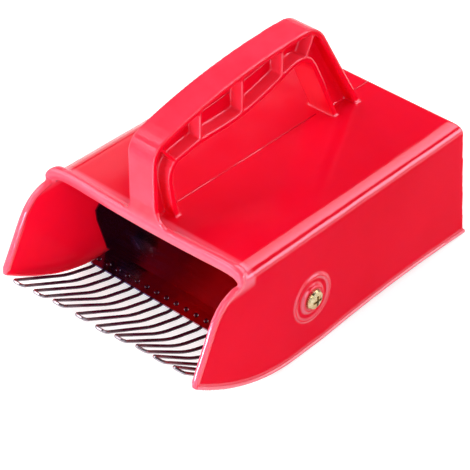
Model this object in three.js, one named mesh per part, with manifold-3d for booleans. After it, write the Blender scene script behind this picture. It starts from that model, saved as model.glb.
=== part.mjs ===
// Berry picking rake: a moulded housing with a stirrup handle, a sheet-metal comb tray screwed
// inside its open front, and nine U-shaped wire loops that comb the berries off.
// Millimetres, +Z up. The mouth and the tines face -Y, the rear wall +Y, and X is the width.
// A reach is a distance forward from the foot of the rear wall; y is rear_y minus the reach.
import * as THREE from 'three';
import { mergeVertices } from 'three/addons/utils/BufferGeometryUtils.js';
import Module from 'manifold-3d';

const wasm = await Module();
wasm.setup();

// Housing shell
const mouth_half_width = 65;
const rear_half_width = 62.8;
const mouth_draft = 1.4;
const rear_draft = 1.9;
const rear_height = 68.3;
const mouth_height = 70.8;
const mouth_reach = 168.8;
const rear_lean = 3.2;
const wall = 2.4;
const crown_run = 9.2;
const crown_drop = 4.4;
const top_rear_radius = 2.6;

// Cheeks, the side walls' forward points
const tip_reach = 206.2;
const tip_height = 26.4;
const tip_radius = 2.2;
const shoulder_reach = 192.6;
const shoulder_height = 53;
const cheek_height = 66.6;
const keel_reach = 136;
const keel_arch = 2;

// Rim round the mouth and bead along the bottom edge
const rim_width = 5;
const rim_corner_width = 6.6;
const rim_height = 6.7;
const rim_proud = 2.1;
const rim_bow = 2.4;
const rim_sweep = 4.7;
const rim_corner = 4;
const rim_side_proud = 1.7;
const opening_corner = 5;
const opening_drop = 1.2;
const cheek_rim_width = 3.2;
const cheek_rim_thickness = 3.4;
const cheek_rim_proud = 0.5;
const bead_height = 2.3;
const bead_proud = 0.5;

// Handle
const handle_front_reach = 172.2;
const handle_rear_reach = 26.5;
const handle_height = 131.4;
const handle_width = 16.4;
const flange_thickness = 3.2;
const web_thickness = 2.2;
const rib_thickness = 1.6;
const foot_flare = 10.5;
const foot_flare_height = 13;

// Screws and their bosses
const screw_reach = 121.6;
const screw_height = 29.8;
const screw_diameter = 5;
const head_diameter = 10.6;
const head_height = 3;
const slot_width = 1.3;
const slot_length = 6;
const slot_depth = 1.7;
const boss_radius = 7.6;
const boss_proud = 1.5;
const boss_well = 0.8;
const ring_radius = 12.3;
const ring_bead = 0.95;
const washer_diameter = 10;
const washer_thickness = 1;
const nut_across_flats = 8;
const nut_height = 4;
const thread_runout = 1.5;

// Comb tray
const sheet = 0.8;
const tray_front_reach = 151;
const apron_depth = 14.4;
const apron_side_room = 1.5;
const crest_reach = 117;
const crest_height = 10.9;
const crest_flat = 4;
const ramp_run = 9;
const floor_height = 4.2;
const tray_rear_rise = 13;
const flange_front_reach = 144.1;
const flange_top = 37;
const flange_rear_top = 19;
const flange_corner = 4.5;
const ledge_width = 22;
const ledge_depth = 4;

// Tines
const loop_count = 9;
const tine_side_room = 8.05;
const wire_diameter = 1.8;
const tine_reach = 204.2;
const wire_clearance = 2.05;
const tine_rise_angle = 16;
const tine_tip_angle = 30.5;
const tine_bend_start = 164.5;
const tine_bend_radius = 62;
const loop_corner = 2;
const hook_reach = 146.3;
const hook_bend = 1.4;
const hook_proud = 0.5;
const level_reach = 151.8;
// The loops are set by hand. Each one's tip is this far above and ahead of the even line, as
// shares of the wire.
const tip_lift_shares = [-1.6, -1.2, -0.4, -1.1, -1.3, -0.1, 0.8, 1.6, 2.4];
const tip_ahead_shares = [1.1, 0.8, 0.7, -0.4, -0.4, -0.1, -0.4, 0.8, 1.1];

// Shared values
const gap = 0.3;
const overrun = 6;
const arc_steps = 6;
const round_steps = 24;
const wire_sides = 8;
const weld = 0.0001;

const lerp = THREE.MathUtils.lerp;
const half = 1 / 2;
const wire_radius = wire_diameter * half;
const apron_reach = tray_front_reach - apron_depth;
const floor_start_reach = crest_reach - crest_flat - ramp_run;
const prong_pitch = 2 * (mouth_half_width - tine_side_room) / (2 * loop_count - 1);

// The wires run a little above the ground and the tray's front part lies on them.
const run_height = wire_clearance + wire_radius;
const tray_front_height = run_height + wire_radius + gap * half + sheet;

function material(name, color, roughness, metalness) {
  return new THREE.MeshStandardMaterial({ name, color, roughness, metalness });
}

const red_plastic = material('red_plastic', 0xe8152f, 0.22, 0);
const tray_steel = material('tray_steel', 0x4a4448, 0.2, 1);
const tine_steel = material('tine_steel', 0x8d858c, 0.12, 1);
const zinc = material('yellow_zinc', 0xcdb878, 0.25, 1);

// Bodies: three.js geometry in, joined and cut, three.js geometry out
function solid(geometry) {
  geometry.deleteAttribute('normal');
  geometry.deleteAttribute('uv');
  const merged = mergeVertices(geometry, weld);
  const vertProperties = Float32Array.from(merged.attributes.position.array);
  const triVerts = Uint32Array.from(merged.index.array);
  return new wasm.Manifold(new wasm.Mesh({ numProp: 3, vertProperties, triVerts }));
}

function mesh(name, body, finish) {
  const { vertProperties, triVerts } = body.getMesh();
  const geometry = new THREE.BufferGeometry();
  geometry.setAttribute('position', new THREE.BufferAttribute(vertProperties, 3));
  geometry.setIndex(new THREE.BufferAttribute(triVerts, 1));
  geometry.computeVertexNormals();
  const made = new THREE.Mesh(geometry, finish);
  made.name = name;
  return made;
}

// The side view: a shape drawn in (reach, height) becomes a plate across X.
const side_view = new THREE.Matrix4().makeBasis(
  new THREE.Vector3(0, -1, 0),
  new THREE.Vector3(0, 0, 1),
  new THREE.Vector3(-1, 0, 0),
);

function sidePlate(shape, x_from, x_to) {
  const depth = x_to - x_from;
  const geometry = new THREE.ExtrudeGeometry(shape, { depth, bevelEnabled: false, curveSegments: arc_steps });
  geometry.applyMatrix4(side_view);
  geometry.translate(x_to, 0, 0);
  return solid(geometry);
}

// The front view: a shape drawn in (x, height) becomes a block between two reaches.
const front_view = new THREE.Matrix4().makeRotationX(Math.PI / 2);

function frontPlate(shape, reach_from, reach_to) {
  const depth = reach_to - reach_from;
  const geometry = new THREE.ExtrudeGeometry(shape, { depth, bevelEnabled: false, curveSegments: arc_steps });
  geometry.applyMatrix4(front_view);
  geometry.translate(0, -reach_from, 0);
  return solid(geometry);
}

// A box between two corners, each given as x, reach and height.
function block(x, reach, height) {
  const size = [x, reach, height].map(([from, to]) => to - from);
  const geometry = new THREE.BoxGeometry(...size);
  geometry.translate((x[0] + x[1]) / 2, -(reach[0] + reach[1]) / 2, (height[0] + height[1]) / 2);
  return solid(geometry);
}

// A turned piece on an X axis, its profile given as (radius, x) points.
function turned(profile, reach, height) {
  const points = profile.map(([radius, x]) => new THREE.Vector2(radius, x));
  const geometry = new THREE.LatheGeometry(points, round_steps);
  geometry.rotateZ(-Math.PI / 2);
  geometry.translate(0, -reach, height);
  return solid(geometry);
}

function polygon(points) {
  return new THREE.Shape(points.map(([u, v]) => new THREE.Vector2(u, v)));
}

function mirrored(body) {
  return body.mirror([1, 0, 0]);
}

// Shell: the housing narrows to the rear and its walls lean in towards the top.
// An inset section has a smaller crown, by this share of the inset.
const crown_inset_share = 0.75;

function topHeight(reach) {
  return lerp(rear_height, mouth_height, reach / mouth_reach);
}

function footHalfWidth(reach) {
  return lerp(rear_half_width, mouth_half_width, reach / tip_reach);
}

function halfWidth(reach, height) {
  const draft = lerp(rear_draft, mouth_draft, reach / tip_reach);
  return footHalfWidth(reach) - draft * height / topHeight(reach);
}

function section(reach, inset) {
  const shrink = inset * crown_inset_share;
  const run = crown_run - shrink;
  const drop = crown_drop - shrink;
  const top = topHeight(reach) - inset;
  const right = [[halfWidth(reach, -overrun) - inset, -overrun]];
  for (let step = 0; step <= arc_steps; step += 1) {
    const angle = Math.PI / 2 * step / arc_steps;
    const x = halfWidth(reach, top - drop) - inset - run + run * Math.cos(angle);
    right.push([x, top - drop + drop * Math.sin(angle)]);
  }
  const left = right.map(([x, z]) => [-x, z]).reverse();
  return [...right, ...left].map(([x, z]) => new THREE.Vector3(x, -reach, z));
}

// Joins rings of equal length into one closed skin with a fan at each end.
function skin(rings) {
  const count = rings[0].length;
  const position = rings.flat().flatMap((point) => point.toArray());
  const index = [];
  for (let ring = 0; ring + 1 < rings.length; ring += 1) {
    for (let side = 0; side < count; side += 1) {
      const a = ring * count + side;
      const b = ring * count + (side + 1) % count;
      index.push(a, b, b + count, a, b + count, a + count);
    }
  }
  const last = (rings.length - 1) * count;
  for (let side = 1; side + 1 < count; side += 1) {
    index.push(0, side + 1, side);
    index.push(last, last + side, last + side + 1);
  }
  const geometry = new THREE.BufferGeometry();
  geometry.setAttribute('position', new THREE.Float32BufferAttribute(position, 3));
  geometry.setIndex(index);
  return solid(geometry);
}

function shellLoft(inset) {
  return skin([section(-overrun, inset), section(tip_reach + overrun, inset)]);
}

// Side outline of the cheeks: from the mouth's top over the shoulder and down to the tip.
const cheek_start = new THREE.Vector2(mouth_reach, cheek_height);
const shoulder = new THREE.Vector2(shoulder_reach, shoulder_height);
const tip = new THREE.Vector2(tip_reach, tip_height);
const shoulder_run = shoulder_reach - mouth_reach;
const shoulder_drop = cheek_height - shoulder_height;
const shoulder_control_shares = [[0.45, -0.02], [0.765, 0.235]];
const keel_control_share = 0.46;
const arch_start_share = 0.84;
const arch_middle_share = 0.42;
const shoulder_controls = shoulder_control_shares.map(([run_share, drop_share]) => {
  return new THREE.Vector2(mouth_reach + shoulder_run * run_share, cheek_height - shoulder_drop * drop_share);
});
const shoulder_curve = new THREE.CubicBezierCurve(cheek_start, ...shoulder_controls, shoulder);
const keel_control = new THREE.Vector2(lerp(keel_reach, tip_reach, keel_control_share), 0);
const keel_start = tip.clone().lerp(keel_control, tip_radius / tip.distanceTo(keel_control));
const cheek_end = tip.clone().lerp(shoulder, tip_radius / tip.distanceTo(shoulder));
const tip_curve = new THREE.QuadraticBezierCurve(cheek_end, tip, keel_start);
const keel_end = new THREE.Vector2(keel_reach, 0);
const keel_curve = new THREE.QuadraticBezierCurve(keel_start, keel_control, keel_end);
const arch_curve = new THREE.QuadraticBezierCurve(
  new THREE.Vector2(keel_reach * arch_start_share, 0),
  new THREE.Vector2(keel_reach * arch_middle_share, keel_arch * 2),
  new THREE.Vector2(0, 0),
);

function outerOutline() {
  const over = mouth_height + overrun;
  const height = topHeight(rear_lean);
  const lean = rear_lean / rear_height;
  const low = new THREE.Vector2((height - top_rear_radius) * lean, height - top_rear_radius);
  const high = new THREE.Vector2(rear_lean + top_rear_radius, topHeight(rear_lean + top_rear_radius));
  const rear_corner = new THREE.QuadraticBezierCurve(low, new THREE.Vector2(rear_lean, height), high);
  return new THREE.Shape([
    new THREE.Vector2(0, 0),
    ...rear_corner.getPoints(arc_steps),
    new THREE.Vector2(high.x, over),
    new THREE.Vector2(mouth_reach, over),
    ...shoulder_curve.getPoints(2 * arc_steps),
    ...tip_curve.getPoints(arc_steps),
    ...keel_curve.getPoints(2 * arc_steps).slice(1),
    ...arch_curve.getPoints(arc_steps).slice(0, -1),
  ]);
}

function cavityOutline() {
  const top = mouth_height + overrun;
  const lean = rear_lean / rear_height;
  return polygon([
    [wall - overrun * lean, -overrun],
    [tip_reach + overrun, -overrun],
    [tip_reach + overrun, top],
    [wall + top * lean, top],
  ]);
}

// Bead along the bottom edge, following the keel and the arch. Its upper edge stands back a little.
const bead_back_share = 0.3;

function beadBand() {
  const lower = [...keel_curve.getPoints(2 * arc_steps), ...arch_curve.getPoints(arc_steps)];
  const rise = new THREE.Vector2(-bead_height * bead_back_share, bead_height);
  const upper = lower.map((point) => point.clone().add(rise)).reverse();
  lower.push(new THREE.Vector2(-bead_proud, 0), new THREE.Vector2(-bead_proud, bead_height));
  return new THREE.Shape([...lower, ...upper]);
}

// Rim: one swept bar from cheek tip to cheek tip, over the corners and across the mouth.
// Its stations up the cheek are (place, size): it starts buried in the wall and comes out of it.
const cheek_rim_shares = [[0.03, 0.5], [0.1, 1], [0.4, 1], [0.7, 1]];
const shoulder_rim_shares = [1, 0.85, 0.7, 0.55, 0.4, 0.28, 0.17];
const top_rim_shares = [0.97, 0.93, 0.87, 0.8, 0.65, 0.5, 0.25, 0];
const sweep_power = 10;
const rim_power = 0.78;
const rim_sides = 12;

const rim_side = halfWidth(mouth_reach, mouth_height) + rim_side_proud;
const rim_top = mouth_height + rim_proud;

// A point on the bar's front: it bows in the middle and sweeps forward at the corners.
function onRimFront(x, height) {
  const share = x / rim_side;
  const reach = mouth_reach + rim_bow * (1 - share ** 2) + rim_sweep * share ** sweep_power;
  return new THREE.Vector3(x, -reach, height);
}

// A station has the bar's outer and inner front edges, the way to its rear, and its size.
function rimStations() {
  const stations = [];
  const addCheek = (point, tangent, size_share) => {
    const x = halfWidth(point.x, point.y) + cheek_rim_proud;
    stations.push({
      outer: new THREE.Vector3(x, -point.x, point.y),
      inner: new THREE.Vector3(x - cheek_rim_thickness, -point.x, point.y),
      rearward: new THREE.Vector3(0, -tangent.y, -tangent.x),
      wide: cheek_rim_width,
      size_share,
    });
  };
  const slope = new THREE.Vector2().subVectors(tip, shoulder).normalize();
  for (const [share, size_share] of cheek_rim_shares) {
    addCheek(new THREE.Vector2().lerpVectors(tip, shoulder, share), slope, size_share);
  }
  for (const share of shoulder_rim_shares) {
    addCheek(shoulder_curve.getPoint(share), shoulder_curve.getTangent(share), 1);
  }
  const opening_side = halfWidth(mouth_reach, cheek_height) - wall;
  for (let step = 0; step <= arc_steps; step += 1) {
    const share = step / arc_steps;
    const across = 1 - Math.cos(share * Math.PI / 2);
    const down = 1 - Math.sin(share * Math.PI / 2);
    const lean = Math.PI / 4 * (1 - share) ** 2;
    stations.push({
      outer: onRimFront(rim_side - rim_corner * across, rim_top - rim_corner * down),
      inner: onRimFront(opening_side - opening_corner * across, rim_top - rim_height - opening_drop * down),
      rearward: new THREE.Vector3(0, Math.cos(lean), -Math.sin(lean)),
      wide: lerp(cheek_rim_width, rim_corner_width, share),
      size_share: 1,
    });
  }
  for (const share of top_rim_shares) {
    stations.push({
      outer: onRimFront((rim_side - rim_corner) * share, rim_top),
      inner: onRimFront((opening_side - opening_corner) * share, rim_top - rim_height),
      rearward: new THREE.Vector3(0, 1, 0),
      wide: lerp(rim_width, rim_corner_width, share ** 4),
      size_share: 1,
    });
  }
  return stations;
}

function rimFrames() {
  const right = rimStations();
  const flip = (vector) => new THREE.Vector3(-vector.x, vector.y, vector.z);
  const left = right.slice(0, -1).map((station) => {
    return { ...station, outer: flip(station.outer), inner: flip(station.inner) };
  });
  return [...right, ...left.reverse()].map((station) => {
    const { outer, inner, rearward, wide } = station;
    const across = new THREE.Vector3().subVectors(outer, inner).multiplyScalar(half);
    const centre = new THREE.Vector3().addVectors(outer, inner).multiplyScalar(half)
      .addScaledVector(rearward, wide * half - cheek_rim_proud);
    return { ...station, across, centre };
  });
}

// The bar's section is a rectangle with round corners.
function rim() {
  const squared = (value) => Math.sign(value) * Math.abs(value) ** rim_power;
  const rings = rimFrames().map(({ centre, across, rearward, wide, size_share }) => {
    return Array.from({ length: rim_sides }, (_, side) => {
      const angle = 2 * Math.PI * (side + half) / rim_sides;
      return centre.clone()
        .addScaledVector(across, squared(Math.cos(angle)) * size_share)
        .addScaledVector(rearward, squared(Math.sin(angle)) * wide * half * size_share);
    });
  });
  return skin(rings);
}

// The panels end inside the bar: this clears what stands in front of it above the cheeks.
function mouthCut() {
  const frames = rimFrames();
  const cheek = cheek_rim_shares.length + shoulder_rim_shares.length;
  const low = mouth_height - rim_height;
  const line = frames.slice(cheek, frames.length - cheek).map(({ centre }) => {
    const inside = halfWidth(-centre.y, low) - wall - gap * half;
    return new THREE.Vector2(THREE.MathUtils.clamp(centre.x, -inside, inside), centre.y);
  });
  const ahead = -(tip_reach + overrun);
  line.push(new THREE.Vector2(line[line.length - 1].x, ahead), new THREE.Vector2(line[0].x, ahead));
  const shape = new THREE.Shape(line);
  const geometry = new THREE.ExtrudeGeometry(shape, { depth: 2 * rim_height, bevelEnabled: false });
  geometry.translate(0, 0, low);
  return solid(geometry);
}

// Handle: a side outline cut by the finger gap, with a pocket on each side of the web.
const handle_base = topHeight(lerp(handle_rear_reach, handle_front_reach, half));

function onHandle([along, up]) {
  const reach = lerp(handle_rear_reach, handle_front_reach, along);
  return new THREE.Vector2(reach, lerp(handle_base, handle_height, up));
}

// Places on the handle are (share of its length from the rear, share of its height).
const foot_share = -0.03;
const foot_toe = mouth_reach + rim_bow - cheek_rim_proud;
const front_corner_shares = [[1, 0.6], [1, 0.755], [0.945, 0.79]];
const grip_shares = [[0.945, 0.79], [0.8, 0.895], [0.55, 1], [0.272, 0.985]];
const rear_corner_shares = [[0.272, 0.985], [0.188, 0.985], [0.15, 0.785]];
const rear_foot_share = -0.04;
const gap_front_share = 0.872;
const gap_rear_share = 0.1;
const finger_gap_shares = [
  [0.892, 0.159], [0.902, 0.286], [0.907, 0.388], [0.903, 0.461], [0.891, 0.502], [0.87, 0.52],
  [0.824, 0.537], [0.775, 0.553], [0.679, 0.546], [0.61, 0.55], [0.544, 0.568], [0.444, 0.62],
  [0.348, 0.688], [0.313, 0.708], [0.283, 0.712], [0.255, 0.69], [0.236, 0.65], [0.214, 0.563],
];

function strapPoints() {
  const front_corner = new THREE.QuadraticBezierCurve(...front_corner_shares.map(onHandle));
  const grip = new THREE.CubicBezierCurve(...grip_shares.map(onHandle));
  const rear_corner = new THREE.QuadraticBezierCurve(...rear_corner_shares.map(onHandle));
  return [
    new THREE.Vector2(foot_toe - gap * half, mouth_height - rim_height * half),
    new THREE.Vector2(foot_toe - gap * half, mouth_height),
    new THREE.Vector2(handle_front_reach, mouth_height + foot_flare_height),
    ...front_corner.getPoints(arc_steps),
    ...grip.getPoints(2 * arc_steps).slice(1),
    ...rear_corner.getPoints(arc_steps).slice(1),
    onHandle([rear_foot_share, foot_share]),
  ];
}

function fingerGapPoints() {
  const over = new THREE.SplineCurve(finger_gap_shares.map(onHandle));
  return [
    onHandle([gap_front_share, foot_share]),
    ...over.getPoints(5 * arc_steps),
    onHandle([gap_rear_share, foot_share]),
  ];
}

// Moves each point of an open line sideways, to the right of its direction.
function offsetLine(points, distance) {
  return points.map((point, index) => {
    const next = points[Math.min(index + 1, points.length - 1)];
    const last = points[Math.max(index - 1, 0)];
    const along = new THREE.Vector2().subVectors(next, last).normalize();
    return new THREE.Vector2(point.x + along.y * distance, point.y - along.x * distance);
  });
}

function ribPlate(from, to) {
  const start = onHandle(from);
  const end = onHandle(to);
  const side = new THREE.Vector2().subVectors(end, start).normalize().multiplyScalar(rib_thickness * half);
  const corners = [
    [start.x - side.y, start.y + side.x],
    [start.x + side.y, start.y - side.x],
    [end.x + side.y, end.y - side.x],
    [end.x - side.y, end.y + side.x],
  ];
  return sidePlate(polygon(corners), -handle_width, handle_width);
}

const rib_shares = [
  [[0.775, 0.5], [0.775, 0.95]],
  [[0.573, 0.5], [0.573, 1]],
  [[0.376, 0.6], [0.376, 1]],
  [[0.262, 0.7], [0.212, 0.94]],
  [[0.89, 0.53], [0.955, 0.72]],
];

function handle() {
  const strap = strapPoints();
  const fingers = fingerGapPoints();
  const side = handle_width * half;
  const body = sidePlate(new THREE.Shape([...strap, ...fingers.slice().reverse()]), -side, side);
  const strap_inside = offsetLine(strap, -flange_thickness);
  const finger_outside = offsetLine(fingers, flange_thickness);
  const drop = (point) => new THREE.Vector2(point.x, handle_base - overrun);
  const pocket = new THREE.Shape([
    drop(strap_inside[0]),
    ...strap_inside,
    drop(strap_inside[strap_inside.length - 1]),
    drop(finger_outside[finger_outside.length - 1]),
    ...finger_outside.reverse(),
    drop(finger_outside[finger_outside.length - 1]),
  ]);
  let pockets = sidePlate(pocket, web_thickness * half, side + overrun);
  for (const [from, to] of rib_shares) {
    pockets = pockets.subtract(ribPlate(from, to));
  }
  return body.subtract(pockets).subtract(mirrored(pockets));
}

// The front leg spreads into the rim with a hollow curve on each side.
function frontFoot() {
  const side = handle_width * half;
  const base = mouth_height - rim_height * half;
  const seat = mouth_height + rim_proud * half;
  const top = mouth_height + foot_flare_height;
  const root = mouth_reach + rim_bow - rim_width * half;
  const spread = new THREE.Shape()
    .moveTo(-side - foot_flare, base)
    .lineTo(side + foot_flare, base)
    .lineTo(side + foot_flare, seat)
    .quadraticCurveTo(side, seat, side, top)
    .lineTo(-side, top)
    .quadraticCurveTo(-side, seat, -side - foot_flare, seat);
  const slope = polygon([
    [root, base],
    [foot_toe, base],
    [foot_toe, mouth_height],
    [handle_front_reach - gap * half, top],
    [handle_front_reach - flange_thickness, top],
    [root, mouth_height],
  ]);
  const body = frontPlate(spread, mouth_reach - rim_width, handle_front_reach + overrun);
  return body.intersect(sidePlate(slope, -mouth_half_width, mouth_half_width));
}

// Screw boss on the right wall: an outer ring bead and an inner raised ring round a shallow well.
const boss_face = halfWidth(screw_reach, screw_height) + boss_proud;
const head_seat = boss_face - boss_well;
const wall_inside = halfWidth(screw_reach, screw_height) - wall;
const hole_radius = screw_diameter * half + gap;

function boss() {
  const root = wall_inside + wall * half;
  const profile = [[0, root], [boss_radius, root], [boss_radius, boss_face], [0, boss_face]];
  return turned(profile, screw_reach, screw_height);
}

function bossWell() {
  const radius = head_diameter * half + gap;
  return turned([
    [0, wall_inside - overrun],
    [hole_radius, wall_inside - overrun],
    [hole_radius, head_seat],
    [radius, head_seat],
    [radius, boss_face + overrun],
    [0, boss_face + overrun],
  ], screw_reach, screw_height);
}

function ringBead() {
  const geometry = new THREE.TorusGeometry(ring_radius, ring_bead, arc_steps, 2 * round_steps);
  geometry.rotateY(Math.PI / 2);
  geometry.translate(halfWidth(screw_reach, screw_height), -screw_reach, screw_height);
  return solid(geometry);
}

// Ledge inside the rear wall that carries the tray's rear edge.
function rearLedge() {
  const top = floor_height - sheet - gap;
  const under = keel_arch * half;
  return block([-ledge_width, ledge_width], [wall * half, wall + ledge_depth], [under, top]);
}

function housing() {
  const side = mouth_half_width + overrun;
  const outline = sidePlate(outerOutline(), -side, side);
  const cavity = shellLoft(wall).intersect(sidePlate(cavityOutline(), -side, side));
  const bead = shellLoft(-bead_proud).intersect(sidePlate(beadBand(), -side, side));
  const bosses = boss().add(ringBead());
  const body = shellLoft(0).intersect(outline)
    .add(bead)
    .add(bosses)
    .add(mirrored(bosses))
    .subtract(cavity)
    .subtract(mouthCut())
    .add(rearLedge())
    .add(rim())
    .add(frontFoot())
    .add(handle());
  return body.subtract(bossWell()).subtract(mirrored(bossWell()));
}

// Tray: one sheet, its floor line drawn from the front edge to the rear one.
function trayTopLine() {
  const rear = wall + gap + sheet;
  return [
    [tray_front_reach, tray_front_height],
    [apron_reach, tray_front_height],
    [crest_reach, crest_height],
    [crest_reach - crest_flat, crest_height],
    [floor_start_reach, floor_height],
    [rear + sheet, floor_height],
    [rear, floor_height + sheet],
    [rear + tray_rear_rise * rear_lean / rear_height, floor_height + tray_rear_rise],
  ].map(([reach, height]) => new THREE.Vector2(reach, height));
}

function trayFloor() {
  const top = trayTopLine();
  const under = offsetLine(top, -sheet).reverse();
  return sidePlate(new THREE.Shape([...top, ...under]), -mouth_half_width, mouth_half_width);
}

// The flange's front edge turns upright at this place between the floor and the flange's front.
const flange_bend_shares = [0.88, 0.65];

function flangeOutline() {
  const rear = wall + gap;
  const lean = rear_lean / rear_height;
  const foot = tray_front_height - sheet * half;
  return polygon([
    [apron_reach, foot],
    [
      lerp(apron_reach, flange_front_reach, flange_bend_shares[0]),
      lerp(foot, flange_top, flange_bend_shares[1]),
    ],
    [flange_front_reach, flange_top - flange_corner],
    [flange_front_reach - flange_corner, flange_top],
    [floor_start_reach, flange_top],
    [floor_start_reach - flange_top, flange_rear_top],
    [rear + flange_rear_top * lean, flange_rear_top],
    [rear + floor_height * lean, floor_height - sheet * half],
    [floor_start_reach, floor_height - sheet * half],
    [crest_reach, crest_height - sheet * half],
  ]);
}

const first_prong = -prong_pitch * (2 * loop_count - 1) / 2;

function combTray() {
  const fit = wall + gap;
  const flanges = sidePlate(flangeOutline(), -mouth_half_width, mouth_half_width)
    .intersect(shellLoft(fit).subtract(shellLoft(fit + sheet)));
  const apron_side = Math.abs(first_prong) + apron_side_room;
  const side = mouth_half_width;
  const ends = [tray_front_height - overrun, tray_front_height + overrun];
  const trim = block([apron_side, side], [apron_reach, tray_front_reach + overrun], ends);
  const floor = trayFloor().intersect(shellLoft(fit)).subtract(trim).subtract(mirrored(trim));
  let tray = floor.add(flanges);
  const profile = [[0, -overrun], [hole_radius, -overrun], [hole_radius, overrun], [0, overrun]];
  const bore = turned(profile, screw_reach, screw_height).translate([wall_inside, 0, 0]);
  tray = tray.subtract(bore).subtract(mirrored(bore));
  const hole_size = wire_radius + gap;
  const hole = new THREE.CylinderGeometry(hole_size, hole_size, 2 * overrun, wire_sides);
  hole.rotateX(Math.PI / 2);
  const drill = solid(hole);
  for (let prong = 0; prong < 2 * loop_count; prong += 1) {
    const x = first_prong + prong * prong_pitch;
    tray = tray.subtract(drill.translate([x, -hook_reach, tray_front_height]));
  }
  return tray;
}

// Tines: the side line of a prong is a hook, a level run under the tray, a rise, a bend and the tip.
const hook_steps = 3;
const bend_steps = 5;
const corner_steps = 4;

function prongLine(lift, ahead) {
  const rise = THREE.MathUtils.degToRad(tine_rise_angle);
  const bend_height = run_height + (tine_bend_start - level_reach) * Math.tan(rise);
  const end_reach = tine_reach + ahead;
  const tip_angle = THREE.MathUtils.degToRad(tine_tip_angle) + lift / (end_reach - tine_bend_start);
  const line = [
    [hook_reach, tray_front_height + hook_proud + sheet * half],
    [hook_reach, run_height + hook_bend],
  ];
  for (let step = 1; step <= hook_steps; step += 1) {
    const angle = Math.PI / 2 * step / hook_steps;
    const reach = hook_reach + hook_bend * (1 - Math.cos(angle));
    line.push([reach, run_height + hook_bend * (1 - Math.sin(angle))]);
  }
  line.push(
    [level_reach - hook_bend, run_height],
    [level_reach + hook_bend, run_height + hook_bend * Math.tan(rise)],
  );
  let point = [tine_bend_start, bend_height];
  line.push(point);
  const swing = tip_angle - rise;
  const arc = tine_bend_radius * swing / bend_steps;
  for (let step = 0; step < bend_steps; step += 1) {
    const angle = rise + swing * (step + half) / bend_steps;
    point = [point[0] + arc * Math.cos(angle), point[1] + arc * Math.sin(angle)];
    line.push(point);
  }
  const left = end_reach - wire_radius - loop_corner * Math.cos(tip_angle) - point[0];
  line.push([point[0] + left, point[1] + left * Math.tan(tip_angle)]);
  return { line, tip_angle };
}

class WirePath extends THREE.Curve {
  constructor(stations) {
    super();
    this.stations = stations;
  }
  getPoint(t, target = new THREE.Vector3()) {
    const place = t * (this.stations.length - 1);
    const index = Math.min(Math.floor(place), this.stations.length - 2);
    return target.lerpVectors(this.stations[index], this.stations[index + 1], place - index);
  }
  getUtoTmapping(u) {
    return u;
  }
}

function tine(loop) {
  const lift = tip_lift_shares[loop % tip_lift_shares.length] * wire_diameter;
  const extra = tip_ahead_shares[loop % tip_ahead_shares.length] * wire_diameter;
  const { line, tip_angle } = prongLine(lift, extra);
  const x = first_prong + 2 * loop * prong_pitch;
  const leg = line.map(([reach, height]) => new THREE.Vector3(x, -reach, height));
  const end = leg[leg.length - 1];
  const ahead = new THREE.Vector3(0, -Math.cos(tip_angle), Math.sin(tip_angle));
  const corner = [];
  for (let step = 1; step <= corner_steps; step += 1) {
    const angle = Math.PI / 2 * step / corner_steps;
    corner.push(end.clone()
      .addScaledVector(ahead, loop_corner * Math.sin(angle))
      .add(new THREE.Vector3(loop_corner * (1 - Math.cos(angle)), 0, 0)));
  }
  const across = (point) => new THREE.Vector3(2 * x + prong_pitch - point.x, point.y, point.z);
  const first = [...leg, ...corner];
  const stations = [...first, ...first.map(across).reverse()];
  const ring = new THREE.Shape();
  ring.absarc(0, 0, wire_radius, 0, 2 * Math.PI);
  const geometry = new THREE.ExtrudeGeometry(ring, {
    steps: stations.length - 1,
    curveSegments: wire_sides / 2,
    extrudePath: new WirePath(stations),
  });
  return solid(geometry);
}

// Screw, washer and nut on the right wall, outside in.
// The wall leans, so the washer stands off by what the wall comes in over the washer's radius.
const washer_radius = washer_diameter * half;
const wall_here = halfWidth(screw_reach, screw_height);
const reach_lean = Math.abs(wall_here - halfWidth(screw_reach + washer_radius, screw_height));
const height_lean = Math.abs(wall_here - halfWidth(screw_reach, screw_height + washer_radius));
const flange_inside = wall_inside - gap - sheet;
const washer_face = flange_inside - gap - reach_lean - height_lean;
const nut_face = washer_face - washer_thickness - gap;
const screw_end = nut_face - nut_height - thread_runout;

// The head's round top is (share of its radius, share of its height), from the edge to the middle.
const head_shares = [[1, 0.35], [0.88, 0.68], [0.62, 0.9], [0.3, 1]];

function screw() {
  const seat = head_seat + gap;
  const radius = head_diameter * half;
  const shank = screw_diameter * half;
  const body = turned([
    [0, screw_end],
    [shank - thread_runout * half, screw_end],
    [shank, screw_end + thread_runout * half],
    [shank, seat],
    [radius, seat],
    ...head_shares.map(([radius_share, height_share]) => {
      return [radius * radius_share, seat + head_height * height_share];
    }),
    [0, seat + head_height],
  ], screw_reach, screw_height);
  const depth = [seat + head_height - slot_depth, seat + head_height + overrun];
  const around = (centre, size) => [centre - size * half, centre + size * half];
  const upright = block(depth, around(screw_reach, slot_width), around(screw_height, slot_length));
  const level = block(depth, around(screw_reach, slot_length), around(screw_height, slot_width));
  return body.subtract(upright).subtract(level);
}

function washer() {
  return turned([
    [hole_radius, washer_face - washer_thickness],
    [washer_radius, washer_face - washer_thickness],
    [washer_radius, washer_face],
    [hole_radius, washer_face],
    [hole_radius, washer_face - washer_thickness],
  ], screw_reach, screw_height);
}

function nut() {
  const corner = nut_across_flats * half / Math.cos(Math.PI / 6);
  const hexagon = new THREE.CylinderGeometry(corner, corner, nut_height, 6);
  hexagon.rotateZ(Math.PI / 2);
  hexagon.translate(nut_face - nut_height * half, -screw_reach, screw_height);
  const bore = turned([
    [0, screw_end - overrun],
    [hole_radius, screw_end - overrun],
    [hole_radius, wall_inside],
    [0, wall_inside],
  ], screw_reach, screw_height);
  return solid(hexagon).subtract(bore);
}

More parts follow.
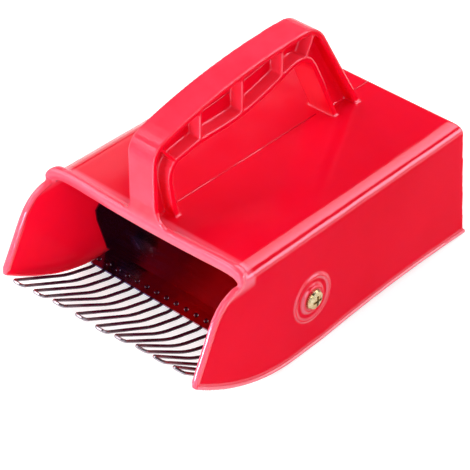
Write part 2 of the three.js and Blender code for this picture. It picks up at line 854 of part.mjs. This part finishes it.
// Assembly
const group = new THREE.Group();
group.add(mesh('housing', housing(), red_plastic));
group.add(mesh('comb_tray', combTray(), tray_steel));
for (let loop = 0; loop < loop_count; loop += 1) {
  group.add(mesh(`tine_${loop + 1}`, tine(loop), tine_steel));
}
for (const [name, body] of [['screw', screw()], ['washer', washer()], ['nut', nut()]]) {
  group.add(mesh(`${name}_right`, body, zinc));
  group.add(mesh(`${name}_left`, mirrored(body), zinc));
}
const extent = new THREE.Box3().setFromObject(group);
group.position.y = -(extent.min.y + extent.max.y) / 2;

export default group;
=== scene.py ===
import math

import bmesh
import bpy
from mathutils import Matrix, Vector


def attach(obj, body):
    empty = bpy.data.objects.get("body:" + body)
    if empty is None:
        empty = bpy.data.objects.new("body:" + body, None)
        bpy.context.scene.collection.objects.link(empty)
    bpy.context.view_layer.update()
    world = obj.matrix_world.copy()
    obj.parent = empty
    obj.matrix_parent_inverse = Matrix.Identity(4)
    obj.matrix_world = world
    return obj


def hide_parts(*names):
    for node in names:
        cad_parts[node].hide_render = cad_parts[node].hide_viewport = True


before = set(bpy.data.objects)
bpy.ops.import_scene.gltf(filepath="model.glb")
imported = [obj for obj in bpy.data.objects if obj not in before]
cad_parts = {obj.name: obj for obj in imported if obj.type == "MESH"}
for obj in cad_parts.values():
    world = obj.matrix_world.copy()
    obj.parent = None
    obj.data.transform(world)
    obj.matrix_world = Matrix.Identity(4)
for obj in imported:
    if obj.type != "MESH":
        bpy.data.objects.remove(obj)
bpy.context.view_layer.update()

# Lengths are metres, unless a comment says millimetres. A span is (start, end).
RISE = (0, 1)
FALL = (1, 0)
UPRIGHT = (0, 0, 1)
REARWARD = (0, 1, 0)
FORWARD = (0, -1, 0)
SIDEWAYS = (1, 0, 0)

# Camera, fitted to the photograph, its lens and sensor in millimetres
LENS = 191.5
SENSOR = 36.0
AIM = Vector((0.0644, -0.07508, 0.1006))
DISTANCE = 1.1274
AZIMUTH = math.radians(42.11)
ELEVATION = math.radians(37.55)
NEAREST = 0.01
FARTHEST = 50

# Background: a ceiling over this span of a view's upward share, and a floor that turns white far out
WHITE = (1, 1, 1, 1)
BLACK = (0, 0, 0, 1)
HORIZON = (0.1, 0.3)
CEILING = 0.06
SOFT_LIGHT = 0.09
FLOOR_HALF = 6
FLOOR_DROP = 0.0003
FLOOR_GREY = (0.62, 0.62, 0.62, 1)
NEAR_GLOW = 0.6
FAR_GLOW = 0.98
FAR_SPAN = (0.25, 0.7)

# Lamps: name, way from aim to lamp, distance, (width, length), radiance, way of the length, aim
MIDDLE = (0, 0, 0.07)
LEFT_CHEEK = (-0.062, -0.06, 0.04)
LONG_EDGE = (0.067, 0.02, 0.07)
LAMPS = (
    ("near_left", (-0.53, -0.76, 0.38), 1.4, (1.0, 0.6), 2.2, UPRIGHT, MIDDLE),
    ("near_line", (-0.532, -0.609, 0.588), 1.2, (0.5, 0.2), 5, UPRIGHT, MIDDLE),
    ("high_left", (-0.52, -0.08, 0.84), 1.2, (0.5, 0.6), 3.6, UPRIGHT, MIDDLE),
    ("near_side", (0.78, -0.42, 0.5), 1.5, (1.0, 0.9), 2.7, UPRIGHT, MIDDLE),
    ("cheek_glow", (0.5, -0.85, 0.18), 0.225, (0.06, 0.06), 34, UPRIGHT, LEFT_CHEEK),
    ("far_left", (-0.532, 0.588, 0.609), 1.2, (0.3, 0.5), 1.3, (0.313, 0.654, -0.358), (-0.2, 0, -0.08)),
    ("left_glow", (-0.85, -0.2, 0.5), 1.3, (0.9, 0.6), 2.4, UPRIGHT, MIDDLE),
    ("far_high", (-0.005, 0.628, 0.76), 1.2, (1.05, 0.8), 3.5, REARWARD, LONG_EDGE),
    ("far_low", (0.73, 0.628, 0.27), 1.2, (0.52, 0.8), 5, REARWARD, LONG_EDGE),
)

# Colours, as linear red, green and blue. A pair is what a patchy surface varies between.
RED = (0.86, 0.003, 0.022)
REDS = ((0.82, 0.002, 0.02), (0.88, 0.004, 0.027))
# Painted sheen: the lighter reds of the grip, on faces turned up and forward
GRIP_SHEEN_REDS = ((0.87, 0.03, 0.07), (0.91, 0.042, 0.088))
# Painted highlight: the lighter red of the rim over the mouth and up the cheeks
RIM_PAINTED_HIGHLIGHT = (0.93, 0.085, 0.145)
RED_GLINT = (1, 0.65, 0.85)
# Painted highlight: the lighter red of the bead along the bottom edge
BEAD_HIGHLIGHT_RED = (0.93, 0.1, 0.16)
BEAD_HIGHLIGHT_REDS = ((0.92, 0.09, 0.15), (0.95, 0.13, 0.19))
SHEET = (0.2, 0.17, 0.19)
# Painted reflections on the tray: darker bluish on its left part, rosy from the red housing on the rest
BLUISH_PAINTED_REFLECTIONS = ((0.14, 0.1, 0.26), (0.22, 0.15, 0.34))
ROSY_PAINTED_REFLECTIONS = ((0.5, 0.26, 0.34), (0.64, 0.38, 0.46))
WIRE = (0.2, 0.16, 0.19)
# Painted reflection: the dark purple of the wires, from dark surroundings and the red housing
WIRE_PAINTED_REFLECTIONS = ((0.042, 0.003, 0.02), (0.062, 0.006, 0.031))
WIRE_TIP = (0.34, 0.3, 0.34)
# Painted shade over the wires' rear ends
WIRE_SEAT_SHADE = (0.05, 0.003, 0.01)
ZINC = (0.78, 0.62, 0.32)
ZINC_SHADES = ((0.66, 0.58, 0.38), (0.44, 0.3, 0.12))

# Relief, and how far each colour of light spreads inside the plastic
SINK_DEPTH = 0.00025
GRAIN_DEPTH = 0.00001
SKIN_DEPTH = 0.000008
SCRATCH_DEPTH = 0.000006
BEND_DEPTH = 0.0021
SPREAD_DEPTH = 0.005
SPREAD_SHARES = (1.0, 0.12, 0.12)

# Levels of noise over which a patchy surface goes from one colour to the other
PATCHY = (0.35, 0.65)

# Spans of x: the bend of the plastic's shading at its long edges, and where the tray's painted
# reflection turns from bluish to rosy
EDGE_BEND = (0.054, 0.067)
REFLECTION_TURN = (-0.02, 0.004)

# Spans of y; WIRE_FOOT is where the painted shade on the wires begins
WORN_TIP = (-0.103, -0.088)
WIRE_FOOT = (-0.0475, -0.0465)
MOUTH_FRONT = (-0.0605, -0.0585)

# Spans of z
HANDLE_START = (0.073, 0.078)
MOUTH_FOOT = (0.061, 0.065)
MOUTH_TOP = (0.072, 0.078)
CHEEK_TOP = (0.065, 0.067)

# The grip is the part of the handle that faces this way; it is rougher there, and its lighter reds are a
# painted sheen
GRIP_WAY = (0, -0.6, 0.8)

# Rim of the cheeks: a strip behind straight lines that touch the cheeks' edge at these leans; its
# lighter red is a painted highlight
RIM_LEANS = (0.51, 0.9, 1.192, 1.6, 2.246, 3.487)
RIM_TOP = 0.068
RIM_DEPTH = 0.0024
RIM_SOFT = 0.0012

# The housing's welding and its rounding
SAME_PLACE = 2e-6
CELL = 0.0005
SMOOTHING = 0.5
SMOOTH_STEPS = 5
KEPT_FACES = 0.16

# Places on the housing, in millimetres: a reach runs forward from the rear wall's foot
PER_METRE = 1000
REAR_Y = 102.74
MOUTH_REACH = 168.8
PANEL_REAR = 68.3
PANEL_RISE = 2.5
HANDLE_REAR = 26.5
HANDLE_FRONT = 172.2
HANDLE_BASE = 69.8
HANDLE_TOP = 131.4
WEB_FACE = 1.1

# A side wall's outer face, in millimetres from the middle, and its change with reach and height
WALL_FACE = 63.3
WALL_SPREAD = 0.0107
WALL_LEAN = -0.02

# Mould lines on the top panel: name, reach of the start, reach of the end
PANEL_LINES = (("parting_line_front", 150, 46), ("parting_line_rear", 19, 5))

# Mould lines on the handle's web, in shares of its length and height
WEB_SHARES = (
    (0.895, 0.64), (0.86, 0.684), (0.82, 0.702), (0.75, 0.726), (0.66, 0.74), (0.56, 0.76),
    (0.474, 0.79), (0.38, 0.824), (0.3, 0.848),
)
LINE_SIZE = (0.0006, 0.00025)

# Bottom bead: two curves of (reach, height) in millimetres, each with a control point in the middle
KEEL = ((203.98, 26.36), (167.95, 1.15), (135.65, 1.17))
KEEL_STEPS = 12
ARCH = ((113.86, 1.18), (56.8, 5.14), (-0.16, 1.18))
ARCH_STEPS = 6
BEAD_WAY = (0, 0.26, 0.966)
BEAD_SIZE = (0.0019, 0.0006)

# Half of a ridge's section is a round of this many steps
ROUND_STEPS = 4


# Objects and nodes
def add_object(name, data):
    made = bpy.data.objects.new(name, data)
    bpy.context.scene.collection.objects.link(made)
    return made


def feed(tree, socket, value):
    """Links an output to the socket, or sets the socket's value."""
    if isinstance(value, bpy.types.NodeSocket):
        tree.links.new(value, socket)
    elif value is not None:
        socket.default_value = value


def add_node(tree, kind, inputs=(), **settings):
    """The outputs of a new node with these settings, its inputs fed by name or number."""
    node = tree.nodes.new("ShaderNode" + kind)
    for name, value in settings.items():
        setattr(node, name, value)
    for place, value in dict(inputs).items():
        feed(tree, node.inputs[place], value)
    return node.outputs


def map_range(tree, value, target, source, kind="LINEAR"):
    """Carries the source span over to the target span, held at both ends."""
    inputs = {
        "Value": value,
        "From Min": source[0],
        "From Max": source[1],
        "To Min": target[0],
        "To Max": target[1],
    }
    return add_node(tree, "MapRange", inputs, interpolation_type=kind)[0]


def seen_rays(tree):
    """One where a camera, mirror or glass ray looks, and nought where light is gathered."""
    path = add_node(tree, "LightPath")
    seen = path["Is Camera Ray"]
    for kind in ("Is Glossy Ray", "Is Transmission Ray"):
        seen = add_node(tree, "Math", {0: seen, 1: path[kind]}, operation="MAXIMUM")[0]
    return seen


# Camera, lamps and background
def add_camera():
    back = Vector((
        math.sin(AZIMUTH) * math.cos(ELEVATION),
        -math.cos(AZIMUTH) * math.cos(ELEVATION),
        math.sin(ELEVATION),
    ))
    data = bpy.data.cameras.new("camera")
    data.lens = LENS
    data.sensor_width = SENSOR
    data.sensor_fit = "HORIZONTAL"
    data.clip_start = NEAREST
    data.clip_end = FARTHEST
    camera = add_object("camera", data)
    camera.location = AIM + back * DISTANCE
    camera.rotation_euler = back.to_track_quat("Z", "Y").to_euler()
    bpy.context.scene.camera = camera


def add_lamp(name, toward, distance, size, radiance, along, aim):
    """A softbox that faces aim from the direction toward, its length running about along."""
    toward = Vector(toward).normalized()
    across = Vector(along).cross(toward).normalized()
    upward = toward.cross(across)
    data = bpy.data.lights.new(name, "AREA")
    data.shape = "RECTANGLE"
    data.size, data.size_y = size
    data.energy = radiance * math.pi * size[0] * size[1]
    turn = Matrix((across, upward, toward)).transposed()
    place = Vector(aim) + toward * distance
    add_object(name, data).matrix_world = Matrix.Translation(place) @ turn.to_4x4()


def add_world():
    """Seen rays find white at and below the horizon and a ceiling above it; other light is even."""
    world = bpy.data.worlds.new("studio")
    bpy.context.scene.world = world
    world.use_nodes = True
    tree = world.node_tree
    tree.nodes.clear()
    way = add_node(tree, "TexCoord")["Generated"]
    height = add_node(tree, "SeparateXYZ", {0: way})["Z"]
    view = map_range(tree, height, (1, CEILING), HORIZON)
    strength = add_node(tree, "Mix", {0: seen_rays(tree), 2: SOFT_LIGHT, 3: view})[0]
    glow = add_node(tree, "Background", {"Color": WHITE, "Strength": strength})[0]
    add_node(tree, "OutputWorld", {"Surface": glow})


def make_floor():
    """Grey that takes the shadow, with a glow that only seen rays find; far out, only the glow."""
    material = bpy.data.materials.new("floor")
    material.use_nodes = True
    tree = material.node_tree
    tree.nodes.clear()
    place = add_node(tree, "TexCoord")["Object"]
    reach = add_node(tree, "VectorMath", {0: place}, operation="LENGTH")["Value"]
    far = map_range(tree, reach, RISE, FAR_SPAN, "SMOOTHSTEP")
    shade = add_node(tree, "Mix", {0: far, 6: FLOOR_GREY, 7: BLACK}, data_type="RGBA")[2]
    lift = add_node(tree, "Mix", {0: far, 2: NEAR_GLOW, 3: FAR_GLOW})[0]
    strength = add_node(tree, "Math", {0: seen_rays(tree), 1: lift}, operation="MULTIPLY")[0]
    matt = add_node(tree, "BsdfDiffuse", {"Color": shade})[0]
    glow = add_node(tree, "Emission", {"Color": WHITE, "Strength": strength})[0]
    surface = add_node(tree, "AddShader", {0: matt, 1: glow})[0]
    add_node(tree, "OutputMaterial", {"Surface": surface})
    return material


def add_floor():
    mesh = bpy.data.meshes.new("floor")
    corners = [(FLOOR_HALF * x, FLOOR_HALF * y, 0) for x, y in ((-1, -1), (1, -1), (1, 1), (-1, 1))]
    mesh.from_pydata(corners, [], [(0, 1, 2, 3)])
    mesh.materials.append(make_floor())
    floor = add_object("floor", mesh)
    floor.location.z = -FLOOR_DROP


# Materials
class Nodes:
    """Builds one Principled material, its texture placed in the frame."""

    def __init__(self, name, color, roughness, metallic=0.0):
        self.material = bpy.data.materials.new(name)
        self.material.use_nodes = True
        self.tree = self.material.node_tree
        self.shader = self.tree.nodes["Principled BSDF"]
        self.place = self.add("TexCoord")["Object"]
        self.put("Base Color", (*color, 1))
        self.put("Roughness", roughness)
        self.put("Metallic", metallic)

    def put(self, name, value):
        feed(self.tree, self.shader.inputs[name], value)

    def add(self, kind, inputs=(), **settings):
        return add_node(self.tree, kind, inputs, **settings)

    def noise(self, scale, detail, rough=0.5, stretch=(1, 1, 1)):
        place = self.add("Mapping", {"Vector": self.place, "Scale": stretch})["Vector"]
        inputs = {"Vector": place, "Scale": scale, "Detail": detail, "Roughness": rough}
        return self.add("TexNoise", inputs)["Fac"]

    def ramp(self, value, target, source=PATCHY, kind="LINEAR"):
        return map_range(self.tree, value, target, source, kind)

    def compute(self, operation, *values):
        return self.add("Math", enumerate(values), operation=operation)[0]

    def times(self, product, *factors):
        for factor in factors:
            product = self.compute("MULTIPLY", product, factor)
        return product

    def mix(self, factor, low, high):
        return self.add("Mix", {0: factor, 2: low, 3: high})[0]

    def blend(self, factor, low, high):
        """Goes from one colour to the other, each a socket or red, green and blue."""
        ends = [(*end, 1) if isinstance(end, tuple) else end for end in (low, high)]
        return self.add("Mix", {0: factor, 6: ends[0], 7: ends[1]}, data_type="RGBA")[2]

    def patchy(self, noise, colors):
        return self.blend(self.ramp(noise, RISE), *colors)

    def bump(self, height, depth, under=None):
        inputs = {"Height": height, "Distance": depth, "Strength": 1, "Normal": under}
        return self.add("Bump", inputs)["Normal"]

    def facing(self, way):
        """How far the surface faces one way, from -1 to 1."""
        normal = self.add("NewGeometry")["Normal"]
        return self.add("VectorMath", {0: normal, 1: way}, operation="DOT_PRODUCT")["Value"]

    def along(self, axis):
        """The place along one axis of the frame."""
        return self.add("SeparateXYZ", {0: self.place})[axis]


def rim_mask(made):
    """One on the rim up both cheeks, which are the foremost points below RIM_TOP, and over the mouth."""
    y = made.along("Y")
    z = made.along("Z")
    forward = made.compute("MULTIPLY", y, -1)
    places = [vertex.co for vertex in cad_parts["housing"].data.vertices]
    low = [place for place in places if place.z < RIM_TOP]
    band = 0
    for lean in RIM_LEANS:
        touch = max(lean * place.z - place.y for place in low)
        start = touch - RIM_DEPTH * math.hypot(1, lean)
        beyond = made.compute("MULTIPLY_ADD", z, lean, forward)
        strip = made.ramp(beyond, RISE, (start, start + RIM_SOFT))
        band = made.compute("MAXIMUM", band, strip)
    cheeks = made.times(band, made.ramp(z, FALL, CHEEK_TOP))
    front = made.ramp(y, FALL, MOUTH_FRONT)
    mouth = made.times(front, made.ramp(z, RISE, MOUTH_FOOT), made.ramp(z, FALL, MOUTH_TOP))
    return made.compute("MAXIMUM", cheeks, mouth)


def gloss_level(made, satin_and_sheen, rim):
    """Full on the rim and round edges, doubled towards the front, and lower on the other faces."""
    sideways = made.compute("ABSOLUTE", made.facing(SIDEWAYS))
    turned = made.ramp(sideways, (0.4, 1), (0.1, 0.3))
    fronted = made.ramp(made.facing(FORWARD), (1, 2), (0.2, 0.5))
    broad = made.ramp(sideways, (1, 0.02), (0.975, 0.996))
    held = made.ramp(satin_and_sheen, (1, 0.5), RISE)
    return made.mix(rim, made.times(turned, fronted, broad, held), rim)


def make_plastic():
    """Glossy moulded plastic, a little see-through, its handle top rougher with a painted sheen, and its
    rim lighter with a painted highlight.
    """
    made = Nodes("gloss_red_plastic", RED, roughness=0.12)
    made.put("IOR", 1.5)
    made.put("Specular Tint", (*RED_GLINT, 1))
    made.put("Subsurface Weight", 0.5)
    made.put("Subsurface Radius", SPREAD_SHARES)
    made.put("Subsurface Scale", SPREAD_DEPTH)
    handle = made.ramp(made.along("Z"), RISE, HANDLE_START)
    satin_and_sheen = made.times(handle, made.ramp(made.facing(GRIP_WAY), RISE, (0.3, 0.6)))
    rim = rim_mask(made)
    base = made.patchy(made.noise(scale=14, detail=3), REDS)
    # Painted sheen on the grip
    grip = made.patchy(made.noise(scale=60, detail=3), GRIP_SHEEN_REDS)
    # The rim's lighter red is a painted highlight, laid over the grip's painted sheen
    made.put("Base Color", made.blend(rim, made.blend(satin_and_sheen, base, grip), RIM_PAINTED_HIGHLIGHT))
    smear = made.noise(scale=55, detail=4, rough=0.6)
    gloss = made.ramp(smear, (0.07, 0.13))
    made.put("Roughness", made.mix(satin_and_sheen, gloss, made.ramp(smear, (0.16, 0.22))))
    sink = made.bump(made.noise(scale=22, detail=1), SINK_DEPTH)
    skin = made.bump(made.noise(scale=1400, detail=2), SKIN_DEPTH, under=sink)
    bend = made.ramp(made.compute("ABSOLUTE", made.along("X")), FALL, EDGE_BEND, "SMOOTHSTEP")
    made.put("Normal", made.bump(bend, BEND_DEPTH, under=skin))
    made.put("Specular IOR Level", gloss_level(made, satin_and_sheen, rim))
    return made.material


def make_bead():
    """The fully glossy plastic of the bead along the bottom edge, its lighter red a painted highlight.
    """
    made = Nodes("gloss_red_bead", BEAD_HIGHLIGHT_RED, roughness=0.12)
    made.put("Specular IOR Level", 1.0)
    made.put("Base Color", made.patchy(made.noise(scale=30, detail=3), BEAD_HIGHLIGHT_REDS))
    made.put("Roughness", made.ramp(made.noise(scale=90, detail=3), (0.1, 0.2)))
    made.put("Normal", made.bump(made.noise(scale=1400, detail=2), SKIN_DEPTH))
    return made.material


def make_tray():
    """Brushed and polished sheet, its painted reflection bluish and darker on the left part and rosy on
    the rest.
    """
    made = Nodes("polished_sheet", SHEET, roughness=0.2, metallic=1.0)
    made.put("Anisotropic", 0.35)
    patch = made.noise(scale=40, detail=3)
    # Painted reflections
    left = made.patchy(patch, BLUISH_PAINTED_REFLECTIONS)
    rest = made.patchy(patch, ROSY_PAINTED_REFLECTIONS)
    made.put("Base Color", made.blend(made.ramp(made.along("X"), RISE, REFLECTION_TURN), left, rest))
    grain = made.noise(scale=900, detail=3, rough=0.6, stretch=(0.05, 1, 1))
    made.put("Roughness", made.ramp(grain, (0.14, 0.26)))
    made.put("Normal", made.bump(grain, GRAIN_DEPTH))
    return made.material


def make_wire():
    """Polished wire: a painted reflection in its dark purple, bare metal at the worn tips, and painted
    shade over its rear ends.
    """
    made = Nodes("polished_wire", WIRE, roughness=0.12)
    worn = made.ramp(made.along("Y"), FALL, WORN_TIP)
    # Painted shade over the wire's rear ends
    seat_shade = made.ramp(made.along("Y"), RISE, WIRE_FOOT)
    painted_reflection = made.patchy(made.noise(scale=160, detail=3), WIRE_PAINTED_REFLECTIONS)
    made.put("Metallic", worn)
    made.put("Base Color", made.blend(seat_shade, made.blend(worn, painted_reflection, WIRE_TIP), WIRE_SEAT_SHADE))
    scratch = made.noise(scale=2600, detail=2, rough=0.6, stretch=(1, 0.06, 1))
    made.put("Roughness", made.ramp(scratch, (0.09, 0.2)))
    made.put("Normal", made.bump(scratch, SCRATCH_DEPTH))
    return made.material


def make_zinc():
    """Yellow zinc plating with a blotchy tint."""
    made = Nodes("yellow_zinc_plating", ZINC, roughness=0.22, metallic=1.0)
    made.put("Base Color", made.patchy(made.noise(scale=420, detail=4, rough=0.6), ZINC_SHADES))
    made.put("Roughness", made.ramp(made.noise(scale=1500, detail=2), (0.16, 0.3)))
    made.put("Normal", made.bump(made.noise(scale=2200, detail=2), SCRATCH_DEPTH))
    return made.material


def dress(name, material):
    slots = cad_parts[name].data.materials
    slots.clear()
    slots.append(material)


# Housing
def welded(name):
    """A copy of a node's mesh with its faces joined up again."""
    work = bmesh.new()
    work.from_mesh(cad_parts[name].data)
    bmesh.ops.remove_doubles(work, verts=work.verts, dist=SAME_PLACE)
    mesh = bpy.data.meshes.new(name + "_moulded")
    work.to_mesh(mesh)
    work.free()
    return mesh


def moulded(name, material):
    """Stands in for a node with the same shape, its edges and corners softly rounded."""
    piece = add_object(name + "_moulded", welded(name))
    remesh = piece.modifiers.new("cells", "REMESH")
    remesh.mode = "VOXEL"
    remesh.voxel_size = CELL
    remesh.use_smooth_shade = True
    soften = piece.modifiers.new("soften", "SMOOTH")
    soften.factor = SMOOTHING
    soften.iterations = SMOOTH_STEPS
    thin = piece.modifiers.new("thin", "DECIMATE")
    thin.ratio = KEPT_FACES
    piece.data.materials.append(material)
    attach(piece, "root")
    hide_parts(name)


# Raised lines
def ridge(name, points, across, upward, size, material):
    """A thin raised line of moulded plastic along the points, its foot sunk in the surface."""
    width, height = size
    turns = [math.pi * step / ROUND_STEPS for step in range(ROUND_STEPS + 1)]
    section = [(1, -1)] + [(math.cos(turn), math.sin(turn)) for turn in turns] + [(-1, -1)]
    work = bmesh.new()
    rings = []
    for point in points:
        ring = []
        for side, lift in section:
            shift = Vector(across) * side * width / 2 + Vector(upward) * lift * height
            ring.append(work.verts.new(Vector(point) + shift))
        rings.append(ring)
    for ring, following in zip(rings, rings[1:]):
        for index in range(len(section)):
            after = (index + 1) % len(section)
            work.faces.new((ring[index], ring[after], following[after], following[index]))
    work.faces.new(rings[0])
    work.faces.new(list(reversed(rings[-1])))
    bmesh.ops.recalc_face_normals(work, faces=work.faces)
    for face in work.faces:
        face.smooth = True
    mesh = bpy.data.meshes.new(name)
    work.to_mesh(mesh)
    work.free()
    mesh.materials.append(material)
    piece = add_object(name, mesh)
    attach(piece, "root")


def curve_points(points, steps):
    """Points on a curve with a start, a control point and an end."""
    start, control, end = (Vector(point) for point in points)
    shares = [step / steps for step in range(steps + 1)]
    return [start.lerp(control, share).lerp(control.lerp(end, share), share) for share in shares]


def place_at(x, reach, height):
    """A place in the frame, from millimetres."""
    return (x / PER_METRE, (REAR_Y - reach) / PER_METRE, height / PER_METRE)


def on_panel(reach):
    return place_at(0, reach, PANEL_REAR + PANEL_RISE * reach / MOUTH_REACH)


def on_wall(side, reach, height):
    return place_at(side * (WALL_FACE + WALL_SPREAD * reach + WALL_LEAN * height), reach, height)


def on_web(side, along, up):
    reach = HANDLE_REAR + (HANDLE_FRONT - HANDLE_REAR) * along
    return place_at(side * WEB_FACE, reach, HANDLE_BASE + (HANDLE_TOP - HANDLE_BASE) * up)


def add_raised_lines(red, bead_highlight):
    for name, start, end in PANEL_LINES:
        ridge(name, [on_panel(start), on_panel(end)], SIDEWAYS, UPRIGHT, LINE_SIZE, red)
    bead = curve_points(KEEL, KEEL_STEPS) + curve_points(ARCH, ARCH_STEPS)
    for side, hand in ((1, "right"), (-1, "left")):
        outward = (side, 0, 0)
        foot = [on_wall(side, *place) for place in bead]
        ridge("bead_" + hand, foot, BEAD_WAY, outward, BEAD_SIZE, bead_highlight)
        web = [on_web(side, *shares) for shares in WEB_SHARES]
        ridge("web_line_" + hand, web, UPRIGHT, outward, LINE_SIZE, red)


add_camera()
add_world()
add_floor()
for lamp in LAMPS:
    add_lamp(*lamp)

plastic = make_plastic()
moulded("housing", plastic)
add_raised_lines(plastic, make_bead())
dress("comb_tray", make_tray())
wire = make_wire()
zinc = make_zinc()
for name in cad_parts:
    if name.startswith("tine_"):
        dress(name, wire)
    elif name.split("_")[0] in ("screw", "washer", "nut"):
        dress(name, zinc)

bpy.context.scene.view_settings.view_transform = "Standard"
